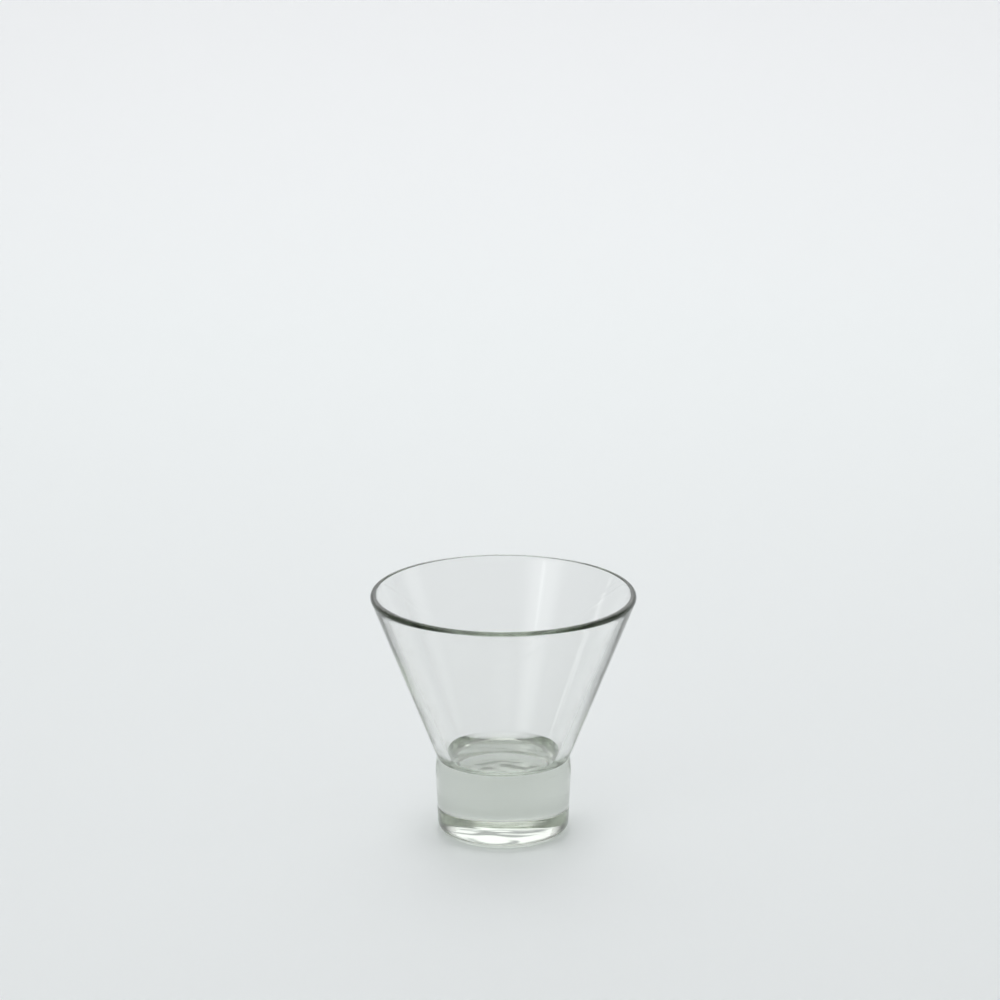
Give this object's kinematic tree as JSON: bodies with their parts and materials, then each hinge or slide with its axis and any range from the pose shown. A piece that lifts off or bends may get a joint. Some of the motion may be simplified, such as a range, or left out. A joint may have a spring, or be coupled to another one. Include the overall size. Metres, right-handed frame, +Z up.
{
  "type": "dessert glass",
  "caption": "Clear pressed-glass dessert cup: an open conical bowl with a rounded rim, fused at a creased neck to a heavy solid cylindrical base.",
  "frame": {"origin": "centre of the plane that the glass stands on", "axes": "+Z up along the axis of revolution, from the foot to the rim"},
  "size_m": [0.102, 0.102, 0.096],
  "materials": {
    "clear_glass": "polished, clear, faint green in thick sections"
  },
  "bodies": {
    "root": {"bowl": "clear_glass", "solid_base": "clear_glass"}
  },
  "joints": []
}
